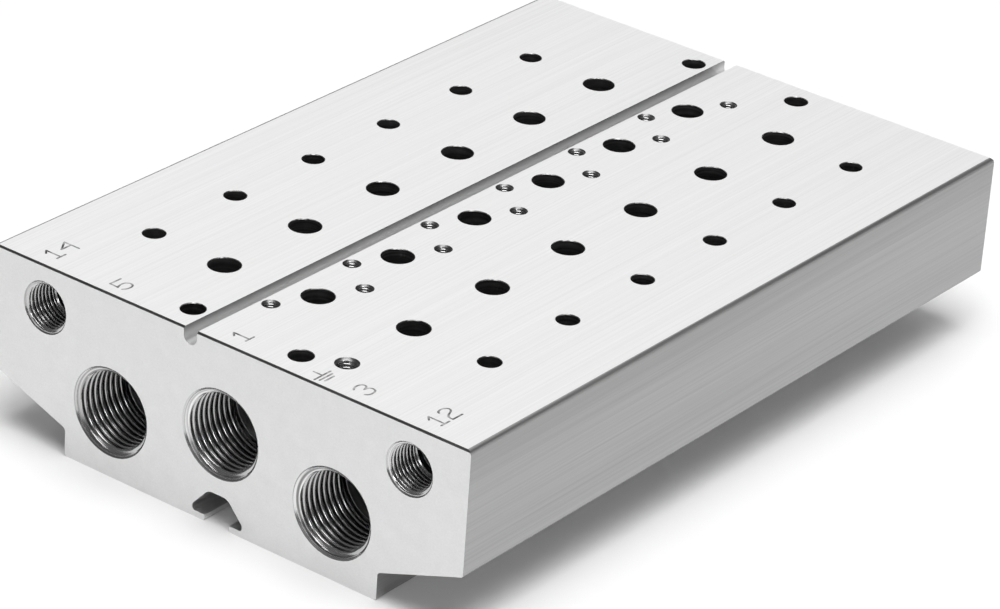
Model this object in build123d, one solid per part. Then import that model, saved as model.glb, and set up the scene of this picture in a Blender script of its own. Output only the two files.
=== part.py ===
from build123d import *

# Valve manifold rail for six side-by-side pneumatic valves: one length of extruded
# aluminium, cut off square and drilled.
# The origin is the middle of the foot's underside. +Z is up, +Y runs along the rail and
# the end face at -Y carries the same ports as the one at +Y.
# All sizes are in millimetres.

import os
from dataclasses import dataclass


@dataclass(frozen=True)
class Thread:
    """A tapped thread: its diameters and its countersunk mouth."""

    major: float
    minor: float
    mouth: float


@dataclass(frozen=True)
class HolePair:
    """Places of two like holes, point-symmetric about the centre of a valve's place."""

    across: float
    along: float


# Threads
G3_8 = Thread(major=16.662, minor=14.950, mouth=17.4)
G1_8 = Thread(major=9.728, minor=8.566, mouth=10.2)
M4 = Thread(major=4.0, minor=3.242, mouth=4.5)
M3 = Thread(major=3.0, minor=2.459, mouth=3.4)
G3_8_DEPTH = 12.0
G1_8_DEPTH = 8.0
M4_DEPTH = 8.0

# Rail
STATIONS = 6
STATION_PITCH = 22.0
END_MARGIN = 25.0
RAIL_WIDTH = 108.0
RAIL_HEIGHT = 36.0
SIDE_HEIGHT = 24.0
SLANT_DROP = 6.5
FOOT_WIDTH = 72.0
FOOT_CORNER_R = 0.8
SIDE_CORNER_R = 0.5
TOP_EDGE_R = 1.0
END_CHAMFER = 0.35

# Label groove in the top face, with a round bottom
GROOVE_X = -7.5
GROOVE_WIDTH = 3.0
GROOVE_DEPTH = 3.0

# Undercut slot in the foot, for sliding nuts
SLOT_MOUTH = 5.6
SLOT_LIP = 1.2
SLOT_POCKET = 11.4
SLOT_WALL = 1.2
SLOT_ROOF = 4.4
SLOT_DEPTH = 6.3
SLOT_LIP_R = 0.5
SLOT_POCKET_R = 0.6
SLOT_ROOF_R = 2.2

# Valve footprint on the top face, repeated at every station
SUPPLY_HOLE_D = 6.0
EXHAUST_HOLES = HolePair(across=19.5, along=2.5)
EXHAUST_HOLE_D = 6.0
PILOT_HOLES = HolePair(across=36.6, along=2.0)
PILOT_HOLE_D = 4.2
VALVE_SCREWS = HolePair(across=3.9, along=8.1)

# Galleries: how far each lies outside its row of holes, and its place in the height
EXHAUST_OUTSET = 5.9
PILOT_OUTSET = 4.8
SUPPLY_BELOW_TOP = 17.8
EXHAUST_ABOVE_FOOT = 12.8
PILOT_BELOW_TOP = 8.3
WALL_UNDER_SCREWS = 2.0

# Four fixing holes through the rail, and the earth screw's hole
FIXING_ACROSS = 12.25
FIXING_FROM_END = 6.0
FIXING_HOLE_D = 4.5
EARTH_ACROSS = 19.6
EARTH_FROM_END = 9.4

OVERCUT = 1.0
SNAP = 0.01

# Worked out from the sizes above
RAIL_LENGTH = (STATIONS - 1) * STATION_PITCH + 2 * END_MARGIN
FIRST_STATION_Y = END_MARGIN - RAIL_LENGTH / 2
EXHAUST_GALLERY_X = EXHAUST_HOLES.across + EXHAUST_OUTSET
PILOT_GALLERY_X = PILOT_HOLES.across + PILOT_OUTSET
SUPPLY_Z = RAIL_HEIGHT - SUPPLY_BELOW_TOP
PILOT_Z = RAIL_HEIGHT - PILOT_BELOW_TOP
EXHAUST_Z = EXHAUST_ABOVE_FOOT
M3_DEPTH = SUPPLY_BELOW_TOP - G3_8.minor / 2 - WALL_UNDER_SCREWS


def mirrored_face(half):
    """The face inside a symmetric outline, given the right half of it from bottom to top."""
    left = [(-x, z) for x, z in reversed(half)]
    return make_face(Plane.XZ * Polyline(*half, *left, close=True))


def corners(face, x, z):
    """The outline's corner at a place and its mirror image."""
    return [v for v in face.vertices() if abs(abs(v.X) - x) < SNAP and abs(v.Z - z) < SNAP]


def rail_outline():
    """The extrusion's outline: upright sides, slants below them, then a narrower foot."""
    half_width = RAIL_WIDTH / 2
    half_foot = FOOT_WIDTH / 2
    slant_high = RAIL_HEIGHT - SIDE_HEIGHT
    slant_low = slant_high - SLANT_DROP
    outline = [
        (half_foot, 0),
        (half_foot, slant_low),
        (half_width, slant_high),
        (half_width, RAIL_HEIGHT),
    ]
    face = mirrored_face(outline)
    face = fillet(corners(face, half_width, RAIL_HEIGHT), TOP_EDGE_R)
    face = fillet(corners(face, half_width, slant_high), SIDE_CORNER_R)
    face = fillet(corners(face, half_foot, 0), SIDE_CORNER_R)
    return fillet(corners(face, half_foot, slant_low), FOOT_CORNER_R)


def slot_outline():
    """The undercut slot: a mouth between two lips, then a pocket that tapers to its roof."""
    half_mouth = SLOT_MOUTH / 2
    half_pocket = SLOT_POCKET / 2
    half_roof = SLOT_ROOF / 2
    wall_top = SLOT_LIP + SLOT_WALL
    outline = [
        (half_mouth, -OVERCUT),
        (half_mouth, SLOT_LIP),
        (half_pocket, SLOT_LIP),
        (half_pocket, wall_top),
        (half_roof, SLOT_DEPTH),
    ]
    face = mirrored_face(outline)
    face = fillet(corners(face, half_pocket, SLOT_LIP), SLOT_POCKET_R)
    face = fillet(corners(face, half_pocket, wall_top), SLOT_POCKET_R)
    return fillet(corners(face, half_roof, SLOT_DEPTH), SLOT_ROOF_R)


def groove_outline():
    """The label groove: parallel walls above a full round bottom."""
    radius = GROOVE_WIDTH / 2
    centre = Pos(GROOVE_X, 0, RAIL_HEIGHT - GROOVE_DEPTH + radius)
    wall = GROOVE_DEPTH - radius + OVERCUT
    walls = Rectangle(GROOVE_WIDTH, wall, align=(Align.CENTER, Align.MIN))
    return centre * (Plane.XZ * (walls + Circle(radius)))


def edge_break(end):
    """A cutter that breaks the top edge at a cut end, -1 for the front and 1 for the rear."""
    y = RAIL_LENGTH / 2
    reach = END_CHAMFER + OVERCUT
    outline = [
        (end * (y - reach), RAIL_HEIGHT + OVERCUT),
        (end * (y + OVERCUT), RAIL_HEIGHT + OVERCUT),
        (end * (y + OVERCUT), RAIL_HEIGHT - reach),
    ]
    face = make_face(Plane.YZ * Polyline(*outline, close=True))
    return extrude(face, RAIL_WIDTH / 2 + OVERCUT, both=True)


def extrusion():
    """The cut-off length of extrusion, with its top edges at both cuts broken."""
    section = rail_outline() - slot_outline() - groove_outline()
    section = fillet(corners(section, SLOT_MOUTH / 2, 0), SLOT_LIP_R)
    rail = extrude(section, RAIL_LENGTH / 2, both=True)
    return rail - [edge_break(-1), edge_break(1)]


def turned(outline):
    """A cutter turned about the Z axis from (radius, height) points."""
    return revolve(make_face(Plane.XZ * Polyline(*outline, close=True)), Axis.Z)


def drill(diameter, depth):
    """A plain hole's cutter, going down from the origin."""
    return Pos(0, 0, OVERCUT) * Cylinder(
        diameter / 2, depth + OVERCUT, align=(Align.CENTER, Align.CENTER, Align.MAX)
    )


def screw_hole(thread, depth):
    """A blind tapped hole's cutter at the thread's major diameter, going down from the origin."""
    r = thread.major / 2
    mouth = thread.mouth / 2
    return turned([(0, OVERCUT), (mouth + OVERCUT, OVERCUT), (r, r - mouth), (r, -depth), (0, -depth)])


def port(thread, depth):
    """The cutter of a gallery's tapped end, with a countersunk mouth and a run-out to the core."""
    r = thread.major / 2
    core = thread.minor / 2
    mouth = thread.mouth / 2
    end = core - r - depth
    return turned(
        [
            (0, OVERCUT),
            (mouth + OVERCUT, OVERCUT),
            (r, r - mouth),
            (r, -depth),
            (core, end),
            (0, end),
        ]
    )


def gallery(x, z, thread, depth):
    """Cutters for a gallery bored from end to end at its thread's core, with both its ports."""
    bore = Pos(x, 0, z) * Rot(X=90) * Cylinder(thread.minor / 2, RAIL_LENGTH + 2 * OVERCUT)
    front = Pos(x, -RAIL_LENGTH / 2, z) * Rot(X=90) * port(thread, depth)
    rear = Pos(x, RAIL_LENGTH / 2, z) * Rot(X=-90) * port(thread, depth)
    return [bore, front, rear]


def galleries():
    """The supply gallery in the middle, the exhaust galleries beside it, the pilots outermost."""
    cutters = gallery(0, SUPPLY_Z, G3_8, G3_8_DEPTH)
    for side in (-1, 1):
        cutters += gallery(side * EXHAUST_GALLERY_X, EXHAUST_Z, G3_8, G3_8_DEPTH)
        cutters += gallery(side * PILOT_GALLERY_X, PILOT_Z, G1_8, G1_8_DEPTH)
    return cutters


def pair(holes, y, cutter):
    """A cutter at both places of a hole pair, on the top face of the station at y."""
    return [
        Pos(side * holes.across, y + side * holes.along, RAIL_HEIGHT) * cutter
        for side in (-1, 1)
    ]


def station(y):
    """One valve's place: a supply hole, two exhausts and two pilots, each drilled down to its
    gallery's axis, and two blind screw holes."""
    cutters = [Pos(0, y, RAIL_HEIGHT) * drill(SUPPLY_HOLE_D, SUPPLY_BELOW_TOP)]
    cutters += pair(EXHAUST_HOLES, y, drill(EXHAUST_HOLE_D, RAIL_HEIGHT - EXHAUST_Z))
    cutters += pair(PILOT_HOLES, y, drill(PILOT_HOLE_D, PILOT_BELOW_TOP))
    cutters += pair(VALVE_SCREWS, y, screw_hole(M3, M3_DEPTH))
    return cutters


def fixing_holes():
    """Four holes right through the rail near its ends, between the galleries."""
    hole = drill(FIXING_HOLE_D, RAIL_HEIGHT + OVERCUT)
    y = RAIL_LENGTH / 2 - FIXING_FROM_END
    places = [(x, end * y) for x in (-FIXING_ACROSS, FIXING_ACROSS) for end in (-1, 1)]
    return [Pos(x, y, RAIL_HEIGHT) * hole for x, y in places]


def earth_hole():
    """The earth screw's blind tapped hole, near the front end."""
    y = EARTH_FROM_END - RAIL_LENGTH / 2
    return Pos(EARTH_ACROSS, y, RAIL_HEIGHT) * screw_hole(M4, M4_DEPTH)


def manifold_block():
    """The finished rail, one solid."""
    cutters = galleries() + fixing_holes() + [earth_hole()]
    for i in range(STATIONS):
        cutters += station(FIRST_STATION_Y + i * STATION_PITCH)
    return extrusion() - cutters


block = manifold_block()
block.label = "manifold_block"
os.makedirs("parts", exist_ok=True)
export_step(block, "parts/manifold_block.step")
print("solids", len(block.solids()), "volume", round(block.volume, 1))
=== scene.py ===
"""Looks of a six-station pneumatic valve manifold rail.

The rail is one length of extruded aluminium, cut off square, drilled and tapped. Its CAD solid
gives the form. This script adds what the solid leaves plain: broken hole rims, port and screw
threads, the engraved port numbers, and the brushed, milled and drilled finishes of the metal.
Shade is also painted into the colours: on the extruded sides, in the groove (with painted light
at its bottom), on the broken end edges, on the rims and walls of the holes, in the threads and
in the screw mouths.
Sizes are in millimetres in the row frame and become metres where a mesh is made.
"""

from __future__ import annotations

import logging
import math
from dataclasses import dataclass
from enum import Enum

import bmesh
import bpy
import numpy as np
from bpy.types import Material, Mesh, Node, NodeSocket, Object
from mathutils import Matrix, Vector

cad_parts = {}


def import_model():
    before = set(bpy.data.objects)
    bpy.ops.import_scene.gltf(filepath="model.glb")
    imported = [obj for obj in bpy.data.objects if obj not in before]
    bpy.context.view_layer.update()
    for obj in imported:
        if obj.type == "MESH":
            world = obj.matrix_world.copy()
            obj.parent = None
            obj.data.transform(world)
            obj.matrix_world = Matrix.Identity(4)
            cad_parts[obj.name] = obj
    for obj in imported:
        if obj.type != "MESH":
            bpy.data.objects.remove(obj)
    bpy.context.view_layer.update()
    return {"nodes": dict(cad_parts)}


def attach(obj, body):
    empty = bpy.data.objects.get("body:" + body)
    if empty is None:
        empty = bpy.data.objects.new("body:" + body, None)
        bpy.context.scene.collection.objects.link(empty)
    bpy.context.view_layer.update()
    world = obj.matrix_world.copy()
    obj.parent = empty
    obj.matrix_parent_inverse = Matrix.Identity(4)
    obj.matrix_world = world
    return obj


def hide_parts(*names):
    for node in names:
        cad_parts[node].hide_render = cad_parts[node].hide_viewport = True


log = logging.getLogger("manifold_rail")

MM = 0.001
BLOCK = "manifold_block"
BODY = "root"

RAIL_LENGTH = 160.0
RAIL_HEIGHT = 36.0
END_CHAMFER = 0.35
GROOVE_X = -7.5
GROOVE_WIDTH = 3.0
GROOVE_DEPTH = 3.0
FOOT_SLOT_WIDTH = 11.4
FOOT_SLOT_DEPTH = 6.3
STATIONS = 6
STATION_PITCH = 22.0
STATION_Y = (np.arange(STATIONS) - (STATIONS - 1) / 2) * STATION_PITCH

Triple = tuple[float, float, float]
DOWN = (0.0, 0.0, -1.0)
UP = (0.0, 0.0, 1.0)

# How near a face has to lie to a plane or an outline to count as part of it, in millimetres
NEAR = 0.01
FLUSH = 0.001

# Points nearer than the first are merged, and edges shorter than the second go, in metres
MERGED = 1e-7
SHRUNK = 1e-8

# The least component of a normal that still counts as square to a plane
SQUARE = 0.99

# The part of a noise's range that its values fill, for the most part
NOISE_LOW = 0.3
NOISE_HIGH = 0.7


@dataclass(frozen=True)
class Thread:
    """A parallel thread with a rounded form, tapped into a hole.

    The diameters, the pitch, the countersunk mouth and the tapped depth are in millimetres.
    """

    major: float
    minor: float
    pitch: float
    mouth: float
    depth: float


class Tap(Enum):
    """The threads cut into the rail."""

    PIPE_3_8 = Thread(major=16.662, minor=14.950, pitch=1.337, mouth=17.4, depth=12.0)
    PIPE_1_8 = Thread(major=9.728, minor=8.566, pitch=0.907, mouth=10.2, depth=8.0)
    EARTH_M4 = Thread(major=4.0, minor=3.242, pitch=0.7, mouth=4.5, depth=8.0)
    VALVE_M3 = Thread(major=3.0, minor=2.459, pitch=0.5, mouth=3.4, depth=8.325)


class Region(Enum):
    """Regions of the rail's surface, in the order of its material slots."""

    EXTRUDED = 0
    TOP = 1
    CUT_END = 2
    EDGE = 3
    RIM = 4
    DRILLED = 5
    BORED = 6
    ENGRAVED = 7
    GROOVE = 8
    HOLE_RIM = 9


@dataclass(frozen=True)
class Hole:
    """A round hole: its centre on the face it starts from, the way it goes in, and its radius."""

    centre: Triple
    inward: Triple
    radius: float

    def frame(self) -> np.ndarray:
        """The hole's own right-handed axes as rows: two across it, then the way in."""
        way = np.array(self.inward, float)
        side = np.array((1.0, 0.0, 0.0))
        return np.stack([side, np.cross(way, side), way])


@dataclass(frozen=True)
class HolePair:
    """Two like holes of a valve's place, point-symmetric about its centre."""

    across: float
    along: float
    radius: float


Faces = list[list[int]] | np.ndarray


def new_object(name: str, points: np.ndarray, faces: Faces) -> Object:
    """Makes a mesh object at the origin.

    Args:
        name: The object's and the mesh's name.
        points: Vertices in millimetres, one row each.
        faces: Vertex numbers of each face.

    Returns:
        The object, linked to the scene.
    """
    mesh = bpy.data.meshes.new(name)
    rows = faces.tolist() if isinstance(faces, np.ndarray) else faces
    mesh.from_pydata((np.asarray(points) * MM).tolist(), [], rows)
    mesh.update()
    thing = bpy.data.objects.new(name, mesh)
    bpy.context.scene.collection.objects.link(thing)
    return thing


def grid_faces(rows: int, columns: int) -> np.ndarray:
    """Quads of a grid that closes round its columns.

    Args:
        rows: Rows of vertices.
        columns: Vertices in each row.

    Returns:
        Four vertex numbers for each quad, the vertices being numbered row by row.
    """
    row, here = np.meshgrid(np.arange(rows - 1) * columns, np.arange(columns), indexing="ij")
    beside = (here + 1) % columns
    above = row + columns
    quads = np.stack([row + here, row + beside, above + beside, above + here], -1)
    return quads.reshape(-1, 4)


def weld(mesh: Mesh) -> None:
    """Merges points that lie on each other, drops the faces that shrink away, and turns all out.

    Args:
        mesh: The mesh, changed in place.
    """
    bm = bmesh.new()
    bm.from_mesh(mesh)
    bmesh.ops.remove_doubles(bm, verts=bm.verts, dist=MERGED)
    bmesh.ops.dissolve_degenerate(bm, edges=bm.edges, dist=SHRUNK)
    bmesh.ops.recalc_face_normals(bm, faces=bm.faces)
    bm.to_mesh(mesh)
    bm.free()
    mesh.update()


@dataclass(frozen=True)
class TapSleeve:
    """The threaded skin of a tapped hole, as a closed ring that stands in the hole's wall.

    Attributes:
        thread: The thread.
        segments: Points round the hole.
        per_pitch: Rows of points to a pitch.
        tail: How far the sleeve goes on behind the thread's end.
        countersunk_from: Depth behind the face at which the sleeve starts.
        root_clearance: How far the roots stay inside the bore.
        skin: How far the outer wall lies outside the major diameter.
        run_out: Length over which the grooves fade.
        start: Where the first root stands, in pitches.
        crest_cut: How much narrower the countersink gets with each unit of depth.
        cone_lift: How far the cut crests stand outside the countersink's cone.
        cone_reach: How far off that cone a face still belongs to it.
        steepness: How much the cosine of the thread's form is steepened.
        sinking: Slope at which the wall behind the thread sinks into the bore.
        sharp_angle: Angle in degrees above which an edge stays sharp.
    """

    thread: Thread
    segments: int
    per_pitch: int
    tail: float
    countersunk_from: float = 0.3
    root_clearance: float = 0.03
    skin: float = 0.4
    run_out: float = 1.2
    start: float = 0.45
    crest_cut: float = math.sqrt(3)
    cone_lift: float = 0.01
    cone_reach: float = 0.03
    steepness: float = 1.25
    sinking: float = 0.05
    sharp_angle: float = 62.0

    def cone(self, depth: np.ndarray) -> np.ndarray:
        """Radius of the countersink where it cuts the crests, at each depth behind the face."""
        t = self.thread
        return t.major / 2 - self.crest_cut * (depth - (t.mouth - t.major) / 2)

    def radius(self, depth: np.ndarray, turn: np.ndarray) -> np.ndarray:
        """Radius of the threaded wall.

        Across one pitch the wall goes from the root to the crest and back as a cosine that is
        steepened towards 55 degree flanks. The countersink goes on from the major diameter and
        cuts the first crests away, the grooves fade into the core over the run-out, and the
        wall behind them sinks into the bore.

        Args:
            depth: Depth behind the face.
            turn: Turns made round the hole.

        Returns:
            The radius at each place.
        """
        t = self.thread
        root = t.major / 2 - self.root_clearance
        core = t.minor / 2
        wave = np.cos(2 * np.pi * (depth / t.pitch - turn - self.start))
        form = 0.5 + 0.5 * np.tanh(self.steepness * wave) / np.tanh(self.steepness)
        wall = core + (root - core) * form
        fade = np.clip((t.depth - depth) / self.run_out, 0, 1)
        wall = core + (wall - core) * fade
        cone = self.cone(depth) + self.cone_lift
        sunk = self.sinking * np.clip(depth - t.depth, 0, None)
        return np.maximum(wall, cone) + sunk

    def ring(self, hole: Hole) -> tuple[np.ndarray, np.ndarray]:
        """One sleeve: its wall on a grid whose rows follow the helix, closed by an outer wall.

        A row climbs by one pitch on its way round, so its last point joins the row that lies
        one pitch further in. Rows are clipped to the sleeve's two ends.

        Args:
            hole: Where the thread is.

        Returns:
            The points and the faces.
        """
        t = self.thread
        first, last = self.countersunk_from, t.depth + self.tail
        n, m = self.segments, self.per_pitch
        rows = np.arange(-m, math.ceil((last - first) / t.pitch) * m + 1)
        turn = np.arange(n) / n
        depth = first + t.pitch * (rows[:, None] / m + turn[None, :])
        depth = np.clip(depth, first, last)
        r = self.radius(depth, np.broadcast_to(turn, depth.shape))
        angle = 2 * np.pi * turn
        across = np.stack([r * np.cos(angle), r * np.sin(angle), depth], -1).reshape(-1, 3)
        i, j = np.meshgrid(np.arange(len(rows) - 1), np.arange(n), indexing="ij")
        wraps = (j == n - 1) * m
        low = np.minimum(i + wraps, len(rows) - 1)
        high = np.minimum(i + 1 + wraps, len(rows) - 1)
        right = (j + 1) % n
        quads = np.stack([i * n + j, (i + 1) * n + j, high * n + right, low * n + right], -1).reshape(-1, 4)
        shell = t.major / 2 + self.skin
        circle = np.stack([np.cos(angle), np.sin(angle)], -1) * shell
        outer = np.concatenate([np.c_[circle, np.full(n, first)], np.c_[circle, np.full(n, last)]])
        start = len(across)
        k = np.arange(n)
        nxt = (k + 1) % n
        end_row = (len(rows) - 1) * n
        walls = [
            np.stack([start + k, start + nxt, start + n + nxt, start + n + k], -1),
            np.stack([k, nxt, start + nxt, start + k], -1),
            np.stack([end_row + k, start + n + k, start + n + nxt, end_row + nxt], -1),
        ]
        points = np.concatenate([across, outer]) @ hole.frame() + np.array(hole.centre)
        return points, np.concatenate([quads, *walls])

    def countersunk(self, mesh: Mesh, holes: list[Hole]) -> np.ndarray:
        """Which faces of the sleeves lie on the countersinks.

        Args:
            mesh: The mesh of the sleeves.
            holes: The tapped holes.

        Returns:
            One flag for each face.
        """
        centre = np.empty(len(mesh.polygons) * 3)
        mesh.polygons.foreach_get("center", centre)
        centre = centre.reshape(-1, 3) / MM
        found = np.zeros(len(centre), bool)
        for hole in holes:
            x, y, depth = hole.frame() @ (centre - np.array(hole.centre)).T
            off = np.abs(np.hypot(x, y) - self.cone(depth))
            found |= (off < self.cone_reach) & (depth > 0) & (depth < self.thread.pitch)
        return found

    def build(self, name: str, holes: list[Hole]) -> Object:
        """Makes the sleeves of like holes as one piece, with a second material slot for the countersinks.

        Args:
            name: The piece's name.
            holes: The tapped holes.

        Returns:
            The piece, smooth shaded but for its end rings.
        """
        points, faces, count = [], [], 0
        for hole in holes:
            p, f = self.ring(hole)
            points.append(p)
            faces.append(f + count)
            count += len(p)
        piece = new_object(name, np.concatenate(points), np.concatenate(faces))
        weld(piece.data)
        piece.data.shade_smooth()
        piece.data.set_sharp_from_angle(angle=math.radians(self.sharp_angle))
        slots = self.countersunk(piece.data, holes).astype(np.int32)
        piece.data.polygons.foreach_set("material_index", slots)
        return piece


@dataclass(frozen=True)
class RimBreak:
    """A 45 degree break of a hole's rim, cut by a short cone.

    Attributes:
        width: Width of the break.
        above: How far the cone stands out of the face.
        inside: How far it reaches into the hole, past the wall.
        segments: Points round the cone.
    """

    width: float = 0.13
    above: float = 0.5
    inside: float = 0.1
    segments: int = 42

    def points(self, hole: Hole) -> np.ndarray:
        """Points of the cone, whose radius shrinks by as much as its depth grows.

        Args:
            hole: The hole.

        Returns:
            The wide circle outside the face, then the narrow one in the hole.
        """
        angle = 2 * np.pi * np.arange(self.segments) / self.segments
        circle = np.stack([np.cos(angle), np.sin(angle)], -1)
        out = np.full(self.segments, -self.above)
        deep = np.full(self.segments, self.width + self.inside)
        wide = np.c_[circle * (hole.radius + self.width + self.above), out]
        narrow = np.c_[circle * (hole.radius - self.inside), deep]
        return np.concatenate([wide, narrow]) @ hole.frame() + np.array(hole.centre)

    def build(self, holes: list[Hole]) -> Object:
        """One cutter for all the holes.

        Args:
            holes: The holes whose rims are broken.

        Returns:
            The cutter, a closed cone in each hole.
        """
        n = self.segments
        points, faces = [], []
        for index, hole in enumerate(holes):
            start = index * 2 * n
            points.append(self.points(hole))
            faces += (grid_faces(2, n) + start).tolist()
            faces.append(np.arange(start, start + n)[::-1].tolist())
            faces.append(np.arange(start + n, start + 2 * n).tolist())
        cutter = new_object("rim_cutter", np.concatenate(points), faces)
        weld(cutter.data)
        return cutter


Stroke = list[tuple[float, float]]


class Glyph(Enum):
    """Single-stroke signs one unit high: across to the right, then up from the foot."""

    ONE = (
        [(0.02, 0.78), (0.27, 1.0)],
        [(0.27, 1.0), (0.27, 0.0)],
        [(0.0, 0.0), (0.61, 0.0)],
    )
    TWO = (
        [(0.0, 0.86), (0.09, 0.97), (0.3, 1.02), (0.52, 0.98), (0.67, 0.84), (0.66, 0.68), (0.5, 0.55)]
        + [(0.2, 0.43), (0.03, 0.28), (0.0, 0.12), (0.0, 0.0)],
        [(0.0, 0.0), (0.71, 0.0)],
    )
    THREE = (
        [(0.0, 0.86), (0.15, 0.97), (0.38, 1.01), (0.6, 0.95), (0.72, 0.8), (0.66, 0.63), (0.38, 0.52)],
        [(0.38, 0.52), (0.62, 0.46), (0.73, 0.3), (0.68, 0.1), (0.5, 0.0), (0.3, -0.01), (0.12, 0.04)]
        + [(0.0, 0.17)],
    )
    FOUR = (
        [(0.72, 0.0), (0.72, 1.0)],
        [(0.72, 1.0), (0.0, 0.53)],
        [(0.0, 0.53), (0.72, 0.53)],
    )
    FIVE = (
        [(0.79, 1.0), (0.03, 1.0)],
        [(0.03, 1.0), (0.0, 0.47)],
        [(0.0, 0.47), (0.2, 0.55), (0.42, 0.57), (0.63, 0.5), (0.75, 0.3), (0.68, 0.09), (0.45, 0.0)]
        + [(0.2, 0.04), (0.0, 0.17)],
    )
    EARTH = (
        [(0.6, 1.0), (0.6, 0.45)],
        [(0.0, 0.45), (1.2, 0.45)],
        [(0.13, 0.225), (1.07, 0.225)],
        [(0.27, 0.0), (0.93, 0.0)],
    )


@dataclass(frozen=True)
class Engraving:
    """Signs cut into the top face with a pointed tool, read from the +X side.

    Attributes:
        height: Height of a figure.
        width: Width of a stroke at the top face.
        depth: Depth of a stroke.
        advance: Distance from sign to sign, in heights.
        above: How far the cutters stand out of the face.
        overrun: How far a stroke goes past its ends, in half widths.
        per_arc: Points to each arc of a bent stroke.
    """

    height: float = 3.5
    width: float = 0.4
    depth: float = 0.18
    advance: float = 0.885
    above: float = 0.06
    overrun: float = 0.3
    per_arc: int = 4

    def smooth(self, stroke: Stroke) -> np.ndarray:
        """The stroke's path.

        A bent stroke gets Catmull-Rom arcs: cubics in t between each two points, with the
        slope at a point taken from its two neighbours. A straight one stays as it is.

        Args:
            stroke: The stroke's points.

        Returns:
            Points along the path.
        """
        p = np.array(stroke, float)
        if len(p) < 3:
            return p
        q = np.concatenate([[2 * p[0] - p[1]], p, [2 * p[-1] - p[-2]]])
        t = np.linspace(0, 1, self.per_arc, endpoint=False)[:, None, None]
        a, b, c, d = q[:-3], q[1:-2], q[2:-1], q[3:]
        bend = 2 * a - 5 * b + 4 * c - d
        twist = 3 * b - a - 3 * c + d
        arcs = 0.5 * (2 * b + (c - a) * t + bend * t**2 + twist * t**3)
        return np.concatenate([arcs.transpose(1, 0, 2).reshape(-1, 2), p[-1:]])

    def groove(self, path: np.ndarray, where: tuple[float, float]) -> Object:
        """A cutter with a V section carried along a path on the top face.

        Its two upper edges lie half a width to the left and right of the path, widened by what
        stands out of the face, and its tip runs under the path.

        Args:
            path: Points in units of the sign's height, across and up.
            where: X of the foot line and Y where the sign starts.

        Returns:
            The cutter, closed by a slanted point at both ends.
        """
        x = where[0] - path[:, 1] * self.height
        y = where[1] + path[:, 0] * self.height
        flat = np.stack([x, y], -1)
        along = np.gradient(flat, axis=0)
        along /= np.linalg.norm(along, axis=1)[:, None]
        half = self.width / 2
        flat[0] -= along[0] * half * self.overrun
        flat[-1] += along[-1] * half * self.overrun
        side = np.stack([-along[:, 1], along[:, 0]], -1)
        top = RAIL_HEIGHT + self.above
        reach = half * (1 + self.above / self.depth)
        n = len(flat)
        left = np.c_[flat + side * reach, np.full(n, top)]
        right = np.c_[flat - side * reach, np.full(n, top)]
        tip = np.c_[flat, np.full(n, RAIL_HEIGHT - self.depth)]
        ends = np.array([
            [*(flat[0] - along[0] * reach), top],
            [*(flat[-1] + along[-1] * reach), top],
        ])
        points = np.concatenate([left, right, tip, ends])
        k = np.arange(n - 1)
        sides = [
            np.stack([k, k + 1, n + k + 1, n + k], -1),
            np.stack([k, 2 * n + k, 2 * n + k + 1, k + 1], -1),
            np.stack([n + k, n + k + 1, 2 * n + k + 1, 2 * n + k], -1),
        ]
        faces = np.stack(sides, 1).reshape(-1, 4).tolist()
        first, last = 3 * n, 3 * n + 1
        faces += [[first, 0, n], [first, 2 * n, 0], [first, n, 2 * n]]
        faces += [[last, 2 * n - 1, n - 1], [last, n - 1, 3 * n - 1], [last, 3 * n - 1, 2 * n - 1]]
        cutter = new_object("groove_cutter", points, faces)
        weld(cutter.data)
        return cutter

    def write(self, signs: list[Glyph], where: tuple[float, float]) -> list[Object]:
        """Cutters of signs side by side.

        Args:
            signs: The signs from left to right.
            where: X of the foot line and Y where the first sign starts.

        Returns:
            One cutter for each stroke.
        """
        cutters = []
        for index, sign in enumerate(signs):
            start = (where[0], where[1] + index * self.advance * self.height)
            cutters += [self.groove(self.smooth(stroke), start) for stroke in sign.value]
        return cutters


@dataclass(frozen=True)
class Fade:
    """A painted shade: a darkening of the colour along one axis.

    Attributes:
        axis: The axis: X, Y or Z.
        dark_at: Distance from the origin, in millimetres, at which it is darkest.
        light_at: Distance at which it ends.
        darkest: The share of the brightness that is left where it is darkest.
    """

    axis: str
    dark_at: float
    light_at: float
    darkest: float


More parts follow.
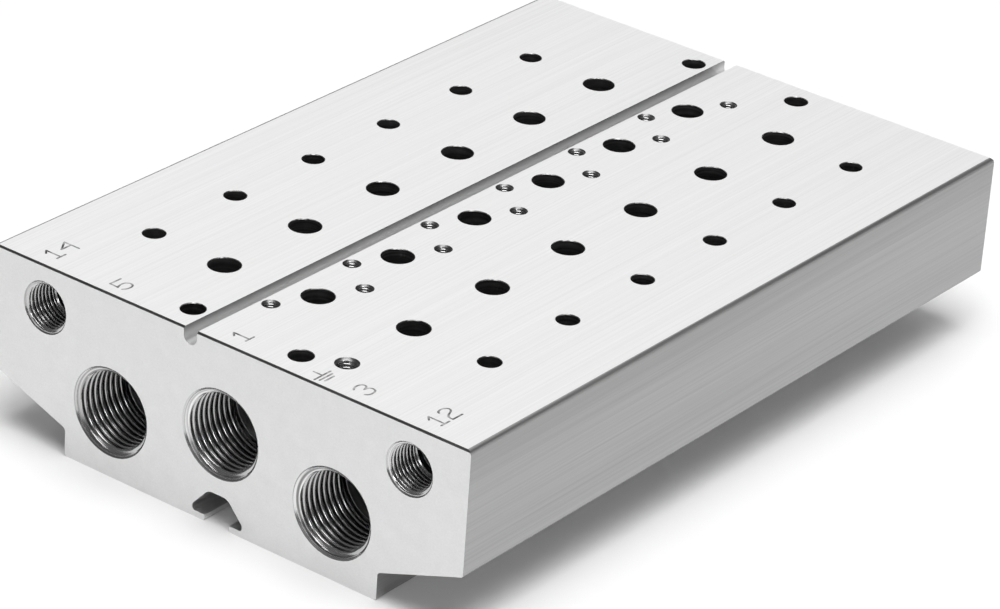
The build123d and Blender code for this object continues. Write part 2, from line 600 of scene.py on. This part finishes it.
class Nodes:
    """A small helper that fills a material's node tree."""

    def __init__(self, name: str) -> None:
        """Starts a material with a Principled shader.

        Args:
            name: The material's name.
        """
        self.material = bpy.data.materials.new(name)
        self.material.use_nodes = True
        self.tree = self.material.node_tree
        self.shader = self.tree.nodes["Principled BSDF"]

    def add(self, kind: str, **values: float | str | tuple) -> Node:
        """Adds a node and sets its inputs and properties.

        Args:
            kind: The node's type.
            **values: Input names with spaces as underscores, or property names.

        Returns:
            The node.
        """
        node = self.tree.nodes.new(kind)
        for key, value in values.items():
            label = key.replace("_", " ")
            if label in node.inputs:
                node.inputs[label].default_value = value
            else:
                setattr(node, key, value)
        return node

    def link(self, source: NodeSocket, target: NodeSocket) -> None:
        """Joins two sockets."""
        self.tree.links.new(source, target)

    def noise(self, scale: Triple, detail: float, roughness: float) -> NodeSocket:
        """Noise on Object coordinates.

        Args:
            scale: Waves to a metre along X, Y and Z.
            detail: Octaves.
            roughness: How strongly the finer octaves show.

        Returns:
            The socket with the value.
        """
        place = self.add("ShaderNodeTexCoord")
        stretch = self.add("ShaderNodeMapping")
        stretch.inputs["Scale"].default_value = scale
        noise = self.add("ShaderNodeTexNoise", Scale=1.0, Detail=detail, Roughness=roughness)
        self.link(place.outputs["Object"], stretch.inputs["Vector"])
        self.link(stretch.outputs["Vector"], noise.inputs["Vector"])
        return noise.outputs["Fac"]

    def blend(self, values: list[tuple[NodeSocket, float]]) -> NodeSocket:
        """Adds values up.

        Args:
            values: Sockets, each with its weight.

        Returns:
            The socket with the weighted sum.
        """
        total = None
        for socket, weight in values:
            part = self.add("ShaderNodeMath", operation="MULTIPLY")
            self.link(socket, part.inputs[0])
            part.inputs[1].default_value = weight
            if total is None:
                total = part.outputs[0]
                continue
            both = self.add("ShaderNodeMath", operation="ADD")
            self.link(total, both.inputs[0])
            self.link(part.outputs[0], both.inputs[1])
            total = both.outputs[0]
        return total

    def spread(self, value: NodeSocket, low: float, high: float) -> NodeSocket:
        """Carries the part of its range that a noise fills to a range of its own.

        Args:
            value: The noise.
            low: What its low values become.
            high: What its high values become.

        Returns:
            The socket with the result.
        """
        node = self.add("ShaderNodeMapRange")
        node.inputs["From Min"].default_value = NOISE_LOW
        node.inputs["From Max"].default_value = NOISE_HIGH
        node.inputs["To Min"].default_value = low
        node.inputs["To Max"].default_value = high
        self.link(value, node.inputs["Value"])
        return node.outputs["Result"]

    def grey(self, value: NodeSocket, dark: float, light: float) -> None:
        """Colours the shader from a noise.

        Args:
            value: The noise.
            dark: Brightness of the grey at its low values.
            light: Brightness of the grey at its high values.
        """
        ramp = self.add("ShaderNodeMix", data_type="RGBA")
        sockets = [s for s in ramp.inputs if s.name in ("A", "B") and s.type == "RGBA"]
        sockets[0].default_value = (dark, dark, dark, 1.0)
        sockets[1].default_value = (light, light, light, 1.0)
        self.link(self.spread(value, 0.0, 1.0), ramp.inputs["Factor"])
        out = [s for s in ramp.outputs if s.type == "RGBA"][0]
        self.link(out, self.shader.inputs["Base Color"])

    def metal(self, value: NodeSocket, least: float, most: float) -> None:
        """Makes the shader a metal whose roughness follows a noise.

        Args:
            value: The noise.
            least: Roughness at its low values.
            most: Roughness at its high values.
        """
        self.shader.inputs["Metallic"].default_value = 1.0
        self.link(self.spread(value, least, most), self.shader.inputs["Roughness"])

    def darken(self, fade: Fade) -> None:
        """Paints shade into the shader's colour by darkening it along one axis, alike on both sides of the
        origin.

        Args:
            fade: The axis, the range and the depth of the darkening.
        """
        place = self.add("ShaderNodeTexCoord")
        parts = self.add("ShaderNodeSeparateXYZ")
        self.link(place.outputs["Object"], parts.inputs["Vector"])
        away = self.add("ShaderNodeMath", operation="ABSOLUTE")
        self.link(parts.outputs[fade.axis], away.inputs[0])
        share = self.add("ShaderNodeMapRange")
        share.inputs["From Min"].default_value = fade.dark_at * MM
        share.inputs["From Max"].default_value = fade.light_at * MM
        share.inputs["To Min"].default_value = fade.darkest
        share.inputs["To Max"].default_value = 1.0
        self.link(away.outputs[0], share.inputs["Value"])
        colour = self.shader.inputs["Base Color"].links[0].from_socket
        dim = self.add("ShaderNodeVectorMath", operation="SCALE")
        self.link(colour, dim.inputs[0])
        self.link(share.outputs["Result"], dim.inputs["Scale"])
        self.link(dim.outputs["Vector"], self.shader.inputs["Base Color"])

    def relief(self, value: NodeSocket, height: float) -> None:
        """Raises the surface by a noise.

        Args:
            value: The noise.
            height: The greatest height, in millimetres.
        """
        bump = self.add("ShaderNodeBump", Strength=1.0, Distance=height * MM)
        self.link(value, bump.inputs["Height"])
        self.link(bump.outputs["Normal"], self.shader.inputs["Normal"])


@dataclass(frozen=True)
class BrushedMetal:
    """Aluminium brushed lengthwise.

    Attributes:
        name: The material's name.
        dark: Brightness of the darkest streaks.
        light: Brightness of the lightest streaks.
        fade: A painted shade along one axis, if there is one.
        roughness: The middle of its roughness.
        unevenness: How far the streaks change the roughness either way.
        fine: Waves of the fine streaks, to a metre of each axis.
        broad: Waves of the broad streaks.
        fine_share: Share of the fine streaks in the colour.
        height: Height of the fine streaks, in millimetres.
    """

    name: str = "brushed_top"
    dark: float = 0.76
    light: float = 0.88
    fade: Fade | None = None
    roughness: float = 0.42
    unevenness: float = 0.05
    fine: Triple = (2300.0, 14.0, 2300.0)
    broad: Triple = (420.0, 5.0, 420.0)
    fine_share: float = 0.8
    height: float = 0.004

    def make(self) -> Material:
        """Makes the material, with the streaks in its colour, gloss and relief."""
        m = Nodes(self.name)
        fine = m.noise(self.fine, 2.0, 0.6)
        broad = m.noise(self.broad, 2.0, 0.55)
        m.grey(m.blend([(fine, self.fine_share), (broad, 1 - self.fine_share)]), self.dark, self.light)
        if self.fade:
            m.darken(self.fade)
        m.metal(fine, self.roughness - self.unevenness, self.roughness + self.unevenness)
        m.relief(fine, self.height)
        return m.material


@dataclass(frozen=True)
class MilledMetal:
    """A saw cut cleaned by a cutter: satin, mottled, without a direction.

    Attributes:
        dark: Brightness of the darkest blotches.
        light: Brightness of the lightest blotches.
        roughness: The middle of its roughness.
        unevenness: How far the blotches change the roughness either way.
        grain: Waves of the fine grain, to a metre of each axis.
        blotch: Waves of the blotches.
        grain_share: Share of the grain in the colour.
        height: Height of the grain, in millimetres.
    """

    dark: float = 0.7
    light: float = 0.8
    roughness: float = 0.46
    unevenness: float = 0.05
    grain: Triple = (2600.0, 2600.0, 2600.0)
    blotch: Triple = (260.0, 260.0, 260.0)
    grain_share: float = 0.4
    height: float = 0.003

    def make(self) -> Material:
        """Makes the material, with soft blotches and a fine grain."""
        m = Nodes("milled_aluminium")
        grain = m.noise(self.grain, 2.0, 0.6)
        blotch = m.noise(self.blotch, 3.0, 0.6)
        m.grey(m.blend([(grain, self.grain_share), (blotch, 1 - self.grain_share)]), self.dark, self.light)
        m.metal(blotch, self.roughness - self.unevenness, self.roughness + self.unevenness)
        m.relief(grain, self.height)
        return m.material


@dataclass(frozen=True)
class BoredMetal:
    """Machined metal in and around the holes, with tool rings or flecks.

    Attributes:
        name: The material's name.
        marks: Waves of the tool's marks, to a metre of each axis. Many waves along the hole's
            axis and few across it give rings.
        dark: Brightness of the darkest marks.
        light: Brightness of the lightest marks.
        roughness: Its roughness, before the marks change it.
        fade: A darkening along one axis, if there is one.
        smoother: How far the marks lower the roughness.
        rougher: How far they raise it.
    """

    name: str
    marks: Triple
    dark: float
    light: float
    # fade: A painted shade along one axis, if there is one.
    roughness: float
    fade: Fade | None = None
    smoother: float = 0.02
    rougher: float = 0.03

    def make(self) -> Material:
        """Makes the material, with the marks in its colour and gloss."""
        m = Nodes(self.name)
        marks = m.noise(self.marks, 1.0, 0.5)
        m.grey(marks, self.dark, self.light)
        if self.fade:
            m.darken(self.fade)
        m.metal(marks, self.roughness - self.smoother, self.roughness + self.rougher)
        return m.material


@dataclass(frozen=True)
class EngravedMetal:
    """The dull bottom of an engraved stroke.

    Attributes:
        dark: Brightness of its darkest parts.
        light: Brightness of its lightest parts.
        roughness: Its roughness.
        waves: Waves from dark to light, to a metre of each axis.
    """

    dark: float = 0.07
    light: float = 0.46
    roughness: float = 0.6
    waves: Triple = (700.0, 700.0, 700.0)

    def make(self) -> Material:
        """Makes the material, darker and lighter by turns along the strokes."""
        m = Nodes("engraved_aluminium")
        m.grey(m.noise(self.waves, 1.0, 0.5), self.dark, self.light)
        m.shader.inputs["Roughness"].default_value = self.roughness
        return m.material


@dataclass(frozen=True)
class ManifoldRail:
    """The rail: its body with rims and signs, and its threads.

    Attributes:
        supply_z: Height of the supply gallery.
        exhaust_x: Distance of the exhaust galleries from the middle.
        exhaust_z: Height of the exhaust galleries.
        pilot_x: Distance of the pilot galleries from the middle.
        pilot_z: Height of the pilot galleries.
        supply_radius: Radius of the supply holes.
        exhaust_holes: The exhaust holes of a valve's place.
        pilot_holes: The pilot holes of a valve's place.
        valve_screws: The screw holes of a valve's place.
        fixing_x: Distance of the fixing holes from the middle, across the rail.
        fixing_y: Distance of the fixing holes from the middle, along the rail.
        fixing_radius: Radius of the fixing holes.
        earth_at: X and Y of the earth screw.
        signs_before: Y before which all the signs lie.
        signs_within: Distance from the middle within which all the signs lie.
        signs_above: Depth below the top face that no sign reaches.
        port_rim: Depth of the turned rim of a port.
        least_rim: How far outside a hole's radius its faces may lie, if it has no rim.
        below_face: Depth behind the face at which a hole's own faces start.
        past_middle: How far past the rail's middle a hole's own faces may lie.
        merge_steps: Steps to a millimetre on which points count as one.
        sharp_angle: Angle in degrees above which an edge stays sharp.
    """

    supply_z: float = 18.2
    exhaust_x: float = 25.4
    exhaust_z: float = 12.8
    pilot_x: float = 41.4
    pilot_z: float = 27.7
    supply_radius: float = 3.0
    exhaust_holes: HolePair = HolePair(across=19.5, along=2.5, radius=3.0)
    pilot_holes: HolePair = HolePair(across=36.6, along=2.0, radius=2.1)
    valve_screws: HolePair = HolePair(across=3.9, along=8.1, radius=Tap.VALVE_M3.value.mouth / 2)
    fixing_x: float = 12.25
    fixing_y: float = 74.0
    fixing_radius: float = 2.25
    earth_at: tuple[float, float] = (19.6, -70.6)
    signs_before: float = -69.0
    signs_within: float = 53.0
    signs_above: float = 0.3
    port_rim: float = 0.4
    least_rim: float = 0.1
    below_face: float = 0.004
    past_middle: float = 1.0
    merge_steps: float = 1e4
    sharp_angle: float = 36.0

    def ports(self, tap: Tap) -> list[Hole]:
        """The tapped gallery ends of one thread, front and rear.

        Args:
            tap: The thread.

        Returns:
            The holes, as wide as their countersunk mouths.
        """
        if tap is Tap.PIPE_3_8:
            exhausts = [(-self.exhaust_x, self.exhaust_z), (self.exhaust_x, self.exhaust_z)]
            places = [(0.0, self.supply_z), *exhausts]
        else:
            places = [(-self.pilot_x, self.pilot_z), (self.pilot_x, self.pilot_z)]
        radius = tap.value.mouth / 2
        half = RAIL_LENGTH / 2
        return [
            Hole((x, side * half, z), (0.0, -side, 0.0), radius)
            for x, z in places
            for side in (-1, 1)
        ]

    def top_holes(self, pair: HolePair) -> list[Hole]:
        """The holes of a pair at every valve's place.

        Args:
            pair: The pair.

        Returns:
            The holes, place by place.
        """
        return [
            Hole((side * pair.across, y + side * pair.along, RAIL_HEIGHT), DOWN, pair.radius)
            for y in STATION_Y
            for side in (-1, 1)
        ]

    def flow_holes(self) -> list[Hole]:
        """The plain holes of the valve seats."""
        supply = [Hole((0.0, y, RAIL_HEIGHT), DOWN, self.supply_radius) for y in STATION_Y]
        return supply + self.top_holes(self.exhaust_holes) + self.top_holes(self.pilot_holes)

    def fixing_holes(self) -> list[Hole]:
        """The four through holes, each as seen from the top, then each as seen from below."""
        places = [(i * self.fixing_x, j * self.fixing_y) for i in (-1, 1) for j in (-1, 1)]
        top = [Hole((x, y, RAIL_HEIGHT), DOWN, self.fixing_radius) for x, y in places]
        return top + [Hole((x, y, 0.0), UP, self.fixing_radius) for x, y in places]

    def screw_holes(self) -> list[Hole]:
        """The blind tapped holes of the valve screws."""
        return self.top_holes(self.valve_screws)

    def earth_hole(self) -> Hole:
        """The blind tapped hole of the earth screw."""
        return Hole((*self.earth_at, RAIL_HEIGHT), DOWN, Tap.EARTH_M4.value.mouth / 2)

    def signs(self) -> list[Object]:
        """Cutters of the port numbers and the earth sign beside the front edge."""
        cut = Engraving()
        return (
            cut.write([Glyph.ONE, Glyph.FOUR], (-41.95, -76.5))
            + cut.write([Glyph.FIVE], (-25.25, -77.2))
            + cut.write([Glyph.ONE], (2.1, -76.65))
            + cut.write([Glyph.EARTH], (21.0, -79.0))
            + cut.write([Glyph.THREE], (29.5, -77.1))
            + cut.write([Glyph.ONE, Glyph.TWO], (44.87, -76.5))
        )

    def solid(self, node: Object) -> Object:
        """The CAD solid's skin as a joined mesh of its own.

        Args:
            node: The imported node.

        Returns:
            The copy, with like points merged.
        """
        mesh = node.data
        points = np.empty(len(mesh.vertices) * 3)
        mesh.vertices.foreach_get("co", points)
        points = points.reshape(-1, 3) @ np.array(node.matrix_world.to_3x3()).T
        corners = np.empty(len(mesh.loops), np.int64)
        mesh.loops.foreach_get("vertex_index", corners)
        keys = np.round(points / MM * self.merge_steps).astype(np.int64)
        _, first, merged = np.unique(keys, axis=0, return_index=True, return_inverse=True)
        faces = merged.ravel()[corners].reshape(-1, 3)
        a, b, c = faces.T
        whole = (a != b) & (b != c) & (c != a)
        return new_object("manifold_body", points[first] / MM, faces[whole])

    def cut(self, body: Object, cutters: list[Object]) -> None:
        """Cuts the tools out of the body for good, one after the other.

        Args:
            body: The body.
            cutters: Closed tools, removed afterwards.
        """
        for tool in cutters:
            step = body.modifiers.new("cut", "BOOLEAN")
            step.operation = "DIFFERENCE"
            step.solver = "MANIFOLD"
            step.object = tool
        now = bpy.context.evaluated_depsgraph_get()
        made = bpy.data.meshes.new_from_object(body.evaluated_get(now), depsgraph=now)
        before = len(body.data.polygons)
        made.materials.clear()
        body.modifiers.clear()
        body.data = made
        made.name = body.name
        for tool in cutters:
            bpy.data.objects.remove(tool)
        log.info("cut %d tools: %d faces before, %d after", len(cutters), before, len(made.polygons))

    def regions(self, mesh: Mesh) -> None:
        """Gives each face the material of its region, by where it lies and the way it faces; some of these
        materials carry painted shade.

        Args:
            mesh: The body's mesh, changed in place.
        """
        count = len(mesh.polygons)
        centre, normal = np.empty(count * 3), np.empty(count * 3)
        mesh.polygons.foreach_get("center", centre)
        mesh.polygons.foreach_get("normal", normal)
        centre, normal = centre.reshape(-1, 3) / MM, normal.reshape(-1, 3)
        x, y, z = centre.T
        depth = RAIL_HEIGHT - z
        from_end = RAIL_LENGTH / 2 - np.abs(y)
        on_top = (depth < FLUSH) & (normal[:, 2] > SQUARE)
        at_end = (from_end < NEAR) & (np.abs(normal[:, 1]) > SQUARE)
        engraved = (depth > FLUSH / 2) & (depth < self.signs_above) & (y < self.signs_before)
        engraved &= (from_end > END_CHAMFER + NEAR) & (np.abs(x) < self.signs_within)
        broken = (from_end < END_CHAMFER - NEAR) & (depth < END_CHAMFER - NEAR) & ~at_end
        in_groove = (np.abs(x - GROOVE_X) < GROOVE_WIDTH / 2 + NEAR) & (depth < GROOVE_DEPTH + NEAR)
        in_slot = (np.abs(x) < FOOT_SLOT_WIDTH / 2 + NEAR) & (z < FOOT_SLOT_DEPTH + NEAR)
        region = np.full(count, Region.EXTRUDED.value, np.int32)
        region[on_top] = Region.TOP.value
        region[at_end] = Region.CUT_END.value
        region[engraved] = Region.ENGRAVED.value
        # The broken end edges take the near-black edge grey, a painted shade.
        region[broken] = Region.EDGE.value
        # The groove's faces take the groove material, with its painted shade and light.
        region[in_groove & (depth > FLUSH) & (region == Region.EXTRUDED.value)] = Region.GROOVE.value
        region[in_slot & (z > FLUSH) & ~at_end] = Region.TOP.value
        drilled = self.flow_holes() + self.fixing_holes()
        screws = self.screw_holes() + [self.earth_hole()]
        ports = self.ports(Tap.PIPE_3_8) + self.ports(Tap.PIPE_1_8)
        # Painted shade: the drilled holes take a near-black rim and a darkened wall.
        self.bores(centre, region, drilled, (Region.HOLE_RIM, Region.DRILLED), RimBreak().width)
        # Painted shade: the screw holes take the near-black edge grey.
        self.bores(centre, region, screws, (Region.EDGE, Region.EDGE), 0.0)
        self.bores(centre, region, ports, (Region.RIM, Region.BORED), self.port_rim)
        mesh.polygons.foreach_set("material_index", region)

    def bores(
        self,
        centre: np.ndarray,
        region: np.ndarray,
        holes: list[Hole],
        finish: tuple[Region, Region],
        rim: float,
    ) -> None:
        """Gives the faces inside holes their materials, which may carry painted shade.

        Args:
            centre: The middle of each face, in millimetres.
            region: The region of each face, changed in place.
            holes: The holes.
            finish: The materials of their rims and of their walls.
            rim: Depth of the rim.
        """
        rims = np.zeros(len(centre), bool)
        deepest = RAIL_LENGTH / 2 + self.past_middle
        for hole in holes:
            x, y, depth = ((centre - np.array(hole.centre)) @ hole.frame().T).T
            inside = np.hypot(x, y) < hole.radius + max(rim, self.least_rim) - NEAR
            inside &= (depth > self.below_face) & (depth < deepest)
            region[inside] = finish[1].value
            rims |= inside & (depth < rim)
        region[rims] = finish[0].value

    def body(self, node: Object) -> Object:
        """The rail's body with broken rims and engraved signs.

        Args:
            node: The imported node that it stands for.

        Returns:
            The piece.
        """
        piece = self.solid(node)
        rims = RimBreak().build(self.flow_holes() + self.fixing_holes())
        self.cut(piece, [rims] + self.signs())
        weld(piece.data)
        # Painted shade: the extruded faces darken towards the top face, and the groove's walls darken much
        # more towards it.
        painted_side_shade = Fade("Z", dark_at=RAIL_HEIGHT, light_at=27.0, darkest=0.86)
        painted_groove_shade = Fade("Z", dark_at=RAIL_HEIGHT, light_at=33.3, darkest=0.32)
        finishes = {
            # Painted shade: the extruded sides are given a much darker grey than the top, darkened further
            # towards the top face.
            Region.EXTRUDED: BrushedMetal("brushed_extrusion_painted_shade", dark=0.345, light=0.435, fade=painted_side_shade),
            Region.TOP: BrushedMetal(),
            Region.CUT_END: MilledMetal(),
            # Painted shade: the broken end edges and the screw holes are given a near-black grey.
            Region.EDGE: BoredMetal(
                "broken_edge_painted_shade", (60.0, 60.0, 60.0), dark=0.15, light=0.2, roughness=0.34
            ),
            Region.RIM: BoredMetal(
                "turned_rim", (40.0, 5200.0, 40.0), dark=0.22, light=0.85, roughness=0.2
            ),
            # Drill rings on a grey darkened as painted shade inside the holes.
            Region.DRILLED: BoredMetal(
                "drilled_hole_painted_shade", (60.0, 60.0, 2400.0), dark=0.26, light=0.5, roughness=0.3
            ),
            Region.BORED: BoredMetal(
                "bored_gallery", (60.0, 2400.0, 60.0), dark=0.55, light=0.75, roughness=0.4
            ),
            Region.ENGRAVED: EngravedMetal(),
            # Painted shade and light: the groove's walls are darkened towards the top face, and its bottom
            # is given a grey lighter than the top's.
            Region.GROOVE: BrushedMetal("brushed_groove_painted_shade", dark=0.84, light=0.92, fade=painted_groove_shade),
            # Painted shade: the rims of the drilled holes are darkened to near black, with fine flecks.
            Region.HOLE_RIM: BoredMetal(
                "hole_rim_painted_shade", (1400.0, 1400.0, 1400.0), dark=0.02, light=0.34, roughness=0.32
            ),
        }
        for region in Region:
            piece.data.materials.append(finishes[region].make())
        self.regions(piece.data)
        piece.data.shade_smooth()
        piece.data.set_sharp_from_angle(angle=math.radians(self.sharp_angle))
        flats = piece.modifiers.new("flats", "WEIGHTED_NORMAL")
        flats.keep_sharp = True
        return piece

    def threads(self) -> list[Object]:
        """The threads of the ports, the valve screws and the earth screw, one piece for each kind."""
        wide = TapSleeve(Tap.PIPE_3_8.value, segments=72, per_pitch=12, tail=1.1)
        narrow = TapSleeve(Tap.PIPE_1_8.value, segments=60, per_pitch=12, tail=0.8)
        screw = TapSleeve(
            Tap.VALVE_M3.value,
            segments=24,
            per_pitch=6,
            tail=0.2,
            countersunk_from=0.15,
            root_clearance=0.012,
            skin=0.25,
            run_out=0.6,
        )
        earth = TapSleeve(
            Tap.EARTH_M4.value,
            segments=32,
            per_pitch=7,
            tail=0.2,
            countersunk_from=0.18,
            root_clearance=0.015,
            skin=0.3,
            run_out=0.8,
        )
        pieces = [
            wide.build("port_threads_3_8", self.ports(Tap.PIPE_3_8)),
            narrow.build("port_threads_1_8", self.ports(Tap.PIPE_1_8)),
            screw.build("valve_screw_threads", self.screw_holes()),
            earth.build("earth_screw_thread", [self.earth_hole()]),
        ]
        half = RAIL_LENGTH / 2
        # Painted shade: the threads are given a darker grey than the rail, darkened most deep in the ports
        # and in the screw holes.
        painted_thread_shade = Fade("Y", dark_at=half - wide.thread.depth, light_at=half - 1.0, darkest=0.6)
        tapped = BoredMetal(
            "tapped_aluminium_painted_shade", (250.0, 250.0, 250.0), dark=0.5, light=0.58, roughness=0.2, fade=painted_thread_shade
        ).make()
        port_mouth = bpy.data.materials["turned_rim"]
        # Painted shade: the screw mouths are given a near-black grey.
        screw_mouth_painted_shade = BoredMetal(
            "screw_mouth_painted_shade", (60.0, 60.0, 2400.0), dark=0.1, light=0.2, roughness=0.32
        ).make()
        for piece, mouth in zip(pieces, (port_mouth, port_mouth, screw_mouth_painted_shade, screw_mouth_painted_shade)):
            piece.data.materials.append(tapped)
            piece.data.materials.append(mouth)
        return pieces


@dataclass(frozen=True)
class SoftBox:
    """A soft rectangular lamp that looks at the rail.

    Attributes:
        name: The lamp's name.
        at: Its place in metres.
        size: Its width and height in metres.
        power: Its power in watts.
        aim: The point that it looks at.
    """

    name: str
    at: Triple
    size: tuple[float, float]
    power: float
    aim: Triple = (0.0, 0.0, 0.02)

    def hang(self) -> None:
        """Makes the lamp and turns it to the rail."""
        data = bpy.data.lights.new(self.name, "AREA")
        data.shape = "RECTANGLE"
        data.size, data.size_y = self.size
        data.energy = self.power
        lamp = bpy.data.objects.new(self.name, data)
        lamp.location = self.at
        way = Vector(self.aim) - Vector(self.at)
        lamp.rotation_euler = way.to_track_quat("-Z", "Y").to_euler()
        bpy.context.scene.collection.objects.link(lamp)


@dataclass(frozen=True)
class Studio:
    """A pale floor, soft lamps and the camera.

    Attributes:
        camera_at: The camera's place in metres.
        azimuth: Its bearing in degrees, round from the front to the right.
        elevation: Its height above the horizon in degrees.
        roll: Its turn about its own axis in degrees.
        lens: Its focal length in millimetres, on a sensor as wide as the next value.
        sensor: The sensor's width in millimetres.
        clip: The nearest and the farthest distance that it sees, in metres.
        floor_half: Half the floor's width in millimetres.
        floor_grey: Brightness of the floor.
        dome: Strength of the world's light.
    """

    camera_at: Triple = (0.440051, -0.601396, 0.394682)
    azimuth: float = 36.253
    elevation: float = 27.046
    roll: float = 4.03
    lens: float = 162.45
    sensor: float = 36.0
    clip: tuple[float, float] = (0.05, 20.0)
    floor_half: float = 4000.0
    floor_grey: float = 0.92
    dome: float = 0.15

    def floor(self) -> Object:
        """Lays the floor under the rail."""
        half = self.floor_half
        corners = np.array([(-half, -half, 0), (half, -half, 0), (half, half, 0), (-half, half, 0)])
        floor = new_object("floor", corners, [[0, 1, 2, 3]])
        m = Nodes("pale_floor")
        m.shader.inputs["Base Color"].default_value = (self.floor_grey,) * 3 + (1.0,)
        m.shader.inputs["Roughness"].default_value = 1.0
        m.shader.inputs["Specular IOR Level"].default_value = 0.0
        floor.data.materials.append(m.material)
        return floor

    def world(self) -> None:
        """Sets an even, dim dome of light."""
        world = bpy.data.worlds.new("studio")
        world.use_nodes = True
        background = world.node_tree.nodes["Background"]
        background.inputs["Color"].default_value = (1, 1, 1, 1)
        background.inputs["Strength"].default_value = self.dome
        bpy.context.scene.world = world

    def camera(self) -> None:
        """Sets the camera at the photograph's viewing angle.

        Its back axis comes from the bearing and the height, its right axis lies level, and both
        that one and the upward axis are then turned by the roll.
        """
        a, e, r = (math.radians(v) for v in (self.azimuth, self.elevation, self.roll))
        back = Vector((math.sin(a) * math.cos(e), -math.cos(a) * math.cos(e), math.sin(e)))
        level = Vector((math.cos(a), math.sin(a), 0.0))
        rise = back.cross(level)
        right = level * math.cos(r) + rise * math.sin(r)
        up = back.cross(right)
        data = bpy.data.cameras.new("camera")
        data.sensor_width = self.sensor
        data.lens = self.lens
        data.clip_start, data.clip_end = self.clip
        camera = bpy.data.objects.new("camera", data)
        turned = Matrix((right, up, back)).transposed().to_4x4()
        camera.matrix_world = Matrix.Translation(self.camera_at) @ turned
        bpy.context.scene.collection.objects.link(camera)
        bpy.context.scene.camera = camera

    def build(self) -> None:
        """Sets everything that isn't part of the rail."""
        self.floor()
        self.world()
        SoftBox("overhead", at=(0.25, -0.2, 1.6), size=(1.3, 1.3), power=28.5).hang()
        SoftBox("rear_left", at=(-1.42, 1.55, 1.38), size=(2.1, 1.3), power=10.65).hang()
        SoftBox("front_strip", at=(0.456, -1.37, 0.42), size=(0.4, 0.15), power=1.5).hang()
        SoftBox("right_fill", at=(1.5, 0.45, 0.42), size=(2.4, 0.8), power=5.0).hang()
        self.camera()
        bpy.context.scene.view_settings.view_transform = "Standard"


def main() -> None:
    """Builds the rail and its studio, and reports each piece."""
    logging.basicConfig(level=logging.INFO, format="%(name)s: %(message)s")
    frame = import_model()
    rail = ManifoldRail()
    body = rail.body(frame["nodes"][BLOCK])
    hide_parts(BLOCK)
    for piece in [body, *rail.threads()]:
        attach(piece, BODY)
        count = sum(len(p.vertices) - 2 for p in piece.data.polygons)
        log.info("%s: %d triangles", piece.name, count)
    Studio().build()


if __name__ == "__main__":
    main()
